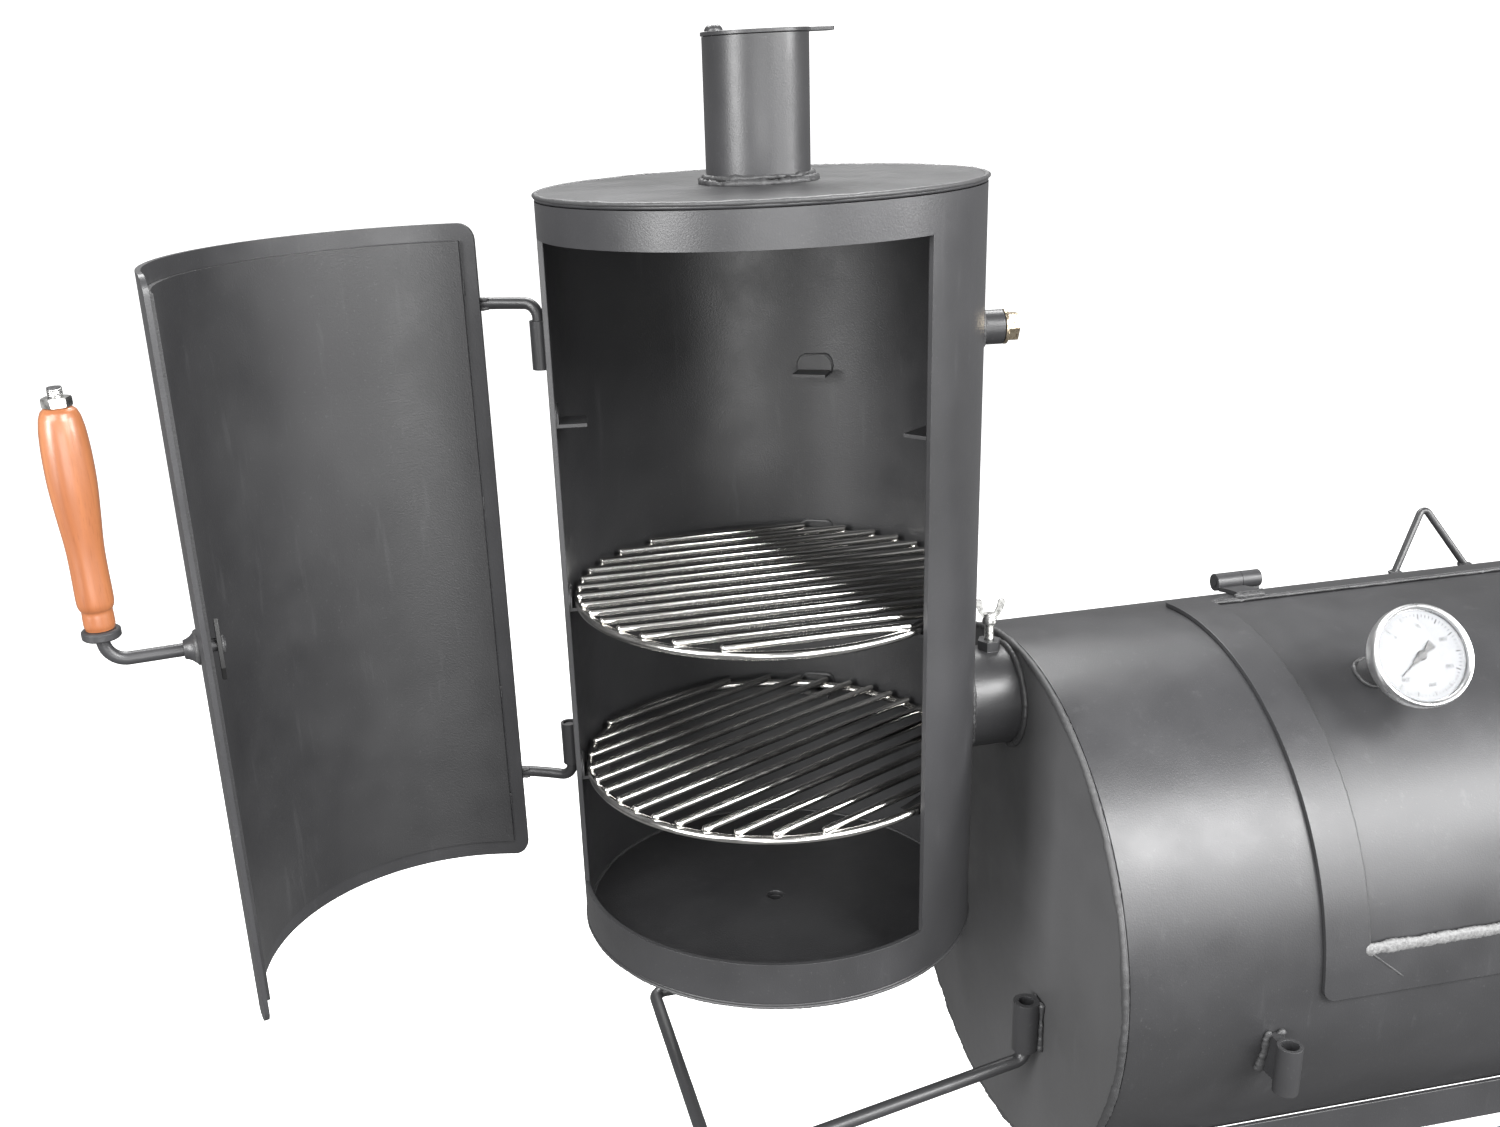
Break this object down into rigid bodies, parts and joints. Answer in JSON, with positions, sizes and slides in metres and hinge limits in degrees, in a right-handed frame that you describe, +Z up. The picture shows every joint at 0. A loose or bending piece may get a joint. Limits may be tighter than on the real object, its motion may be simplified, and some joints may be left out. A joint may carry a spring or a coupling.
{
  "type": "offset smoker",
  "caption": "Offset smoker with an upright smoking tower behind a swinging curved door, a lidded horizontal cooking chamber, a side firebox and a wheeled stand.",
  "frame": {"origin": "centre of the smoker's footprint, on the ground", "axes": "+X along the chamber from the tower to the firebox, -Y the front where the lid and doors are used, +Z up"},
  "size_m": [2.3453, 0.72, 1.6845],
  "materials": {
    "painted_steel": "satin heat-resistant paint over rolled steel",
    "painted_steel_inside": "matt dark paint",
    "stainless_rod": "bright drawn rod",
    "zinc_plated": "bright zinc plating",
    "nickel_brass": "nickel-plated",
    "oiled_wood": "oiled, turned",
    "dial_face": "printed dial",
    "pointer_paint": "matt",
    "wheel_rim": "satin paint over flat steel"
  },
  "bodies": {
    "smoker": {"axle": "painted_steel", "bottom_shelf": "painted_steel", "chamber_barrel": "painted_steel", "chamber_end_left": "painted_steel", "chamber_end_right": "painted_steel", "chamber_ledge_front": "painted_steel_inside", "chamber_ledge_rear": "painted_steel_inside", "chimney_damper_bolt": "painted_steel", "chimney_pipe": "painted_steel", "connecting_pipe": "painted_steel", "door_hinge_sleeve_lower": "painted_steel", "door_hinge_sleeve_upper": "painted_steel", "firebox_grate": "painted_steel_inside", "firebox_inner_end": "painted_steel", "firebox_outer_end": "painted_steel", "firebox_saddle": "painted_steel", "firebox_shell": "painted_steel", "lid_hinge_bracket_left": "painted_steel", "lid_hinge_bracket_right": "painted_steel", "lid_stop_rod": "painted_steel", "probe_port_coupling": "painted_steel", "probe_port_plug": "nickel_brass", "pull_bar": "painted_steel", "pull_bar_socket_front": "painted_steel", "pull_bar_socket_rear": "painted_steel", "shelf_socket_left": "painted_steel", "shelf_socket_right": "painted_steel", "stand_frame": "painted_steel", "tower_floor_plate": "painted_steel", "tower_shell": "painted_steel", "tower_top_plate": "painted_steel"},
    "tower_door": {"door_panel": "painted_steel_inside", "door_frame_strips": "painted_steel", "door_hinge_rod_upper": "painted_steel", "door_hinge_rod_lower": "painted_steel", "door_handle_boss": "painted_steel"},
    "door_handle": {"door_handle_rod": "painted_steel", "door_handle_grip": "oiled_wood", "door_handle_nut": "zinc_plated", "door_latch_tongue": "painted_steel_inside"},
    "damper": {"chimney_damper_plate": "painted_steel"},
    "clamp_bolt": {"wing_bolt": "zinc_plated"},
    "upper_grate": {"tower_grate_upper": "stainless_rod"},
    "lower_grate": {"tower_grate_lower": "stainless_rod"},
    "left_grate": {"chamber_grate_left": "stainless_rod"},
    "right_grate": {"chamber_grate_right": "stainless_rod"},
    "lid": {"lid_panel": "painted_steel", "lid_frame_strips": "painted_steel", "lid_hinge_leaf_left": "painted_steel", "lid_hinge_leaf_right": "painted_steel", "lid_handle_bar": "painted_steel", "lid_handle_grip": "oiled_wood", "thermometer_case": "zinc_plated", "thermometer_dial": "dial_face"},
    "pointer": {"thermometer_pointer": "pointer_paint"},
    "fire_door": {"firebox_door": "painted_steel"},
    "fire_latch": {"firebox_door_latch": "painted_steel"},
    "air_slide": {"firebox_air_slide": "painted_steel"},
    "wheel_f": {"wheel_front": "wheel_rim"},
    "wheel_r": {"wheel_rear": "wheel_rim"}
  },
  "joints": [
    {"name": "tower_door_hinge", "type": "hinge", "parent": "smoker", "child": "tower_door", "pos_m": [-0.8013, 0.06921, 1.27], "axis": [0, 0, 1], "range_deg": [-20, 104.3]},
    {"name": "door_handle_turn", "type": "hinge", "parent": "tower_door", "child": "door_handle", "pos_m": [-1.08773, -0.1069, 1.27], "axis": [-0.991, -0.134, 0], "range_deg": [0, 90]},
    {"name": "chimney_damper_swing", "type": "hinge", "parent": "smoker", "child": "damper", "pos_m": [-0.659, 0, 1.6774], "axis": [0, 0, 1], "range_deg": [0, 110]},
    {"name": "clamp_bolt_turn", "type": "hinge", "parent": "smoker", "child": "clamp_bolt", "pos_m": [-0.4205, 0, 1.172], "axis": [0, 0, 1], "continuous": true},
    {"name": "upper_grate_lift", "type": "slide", "parent": "smoker", "child": "upper_grate", "axis": [0, 0, 1], "range_m": [0, 0.12]},
    {"name": "lower_grate_lift", "type": "slide", "parent": "smoker", "child": "lower_grate", "axis": [0, 0, 1], "range_m": [0, 0.12]},
    {"name": "left_grate_lift", "type": "slide", "parent": "smoker", "child": "left_grate", "axis": [0, 0, 1], "range_m": [0, 0.06]},
    {"name": "right_grate_lift", "type": "slide", "parent": "smoker", "child": "right_grate", "axis": [0, 0, 1], "range_m": [0, 0.06]},
    {"name": "lid_hinge", "type": "hinge", "parent": "smoker", "child": "lid", "pos_m": [0.1221, 0.06923, 1.15839], "axis": [-1, 0, 0], "range_deg": [0, 155]},
    {"name": "thermometer_pointer_turn", "type": "hinge", "parent": "lid", "child": "pointer", "pos_m": [-0.11551, -0.17953, 1.16972], "axis": [-0.0634, -0.8429, 0.5344], "range_deg": [-270, 0]},
    {"name": "fire_door_hinge", "type": "hinge", "parent": "smoker", "child": "fire_door", "pos_m": [1.1235, 0.165, 0.64], "axis": [0, 0, 1], "range_deg": [0, 150]},
    {"name": "fire_latch_turn", "type": "hinge", "parent": "fire_door", "child": "fire_latch", "pos_m": [1.1079, -0.118, 0.69], "axis": [-1, 0, 0], "range_deg": [0, 90]},
    {"name": "air_slide_move", "type": "slide", "parent": "fire_door", "child": "air_slide", "axis": [0, 1, 0], "range_m": [0, 0.018]},
    {"name": "wheel_front_spin", "type": "hinge", "parent": "smoker", "child": "wheel_f", "pos_m": [0.8735, -0.33, 0.19], "axis": [0, 1, 0], "continuous": true},
    {"name": "wheel_rear_spin", "type": "hinge", "parent": "smoker", "child": "wheel_r", "pos_m": [0.8735, 0.33, 0.19], "axis": [0, 1, 0], "continuous": true}
  ]
}
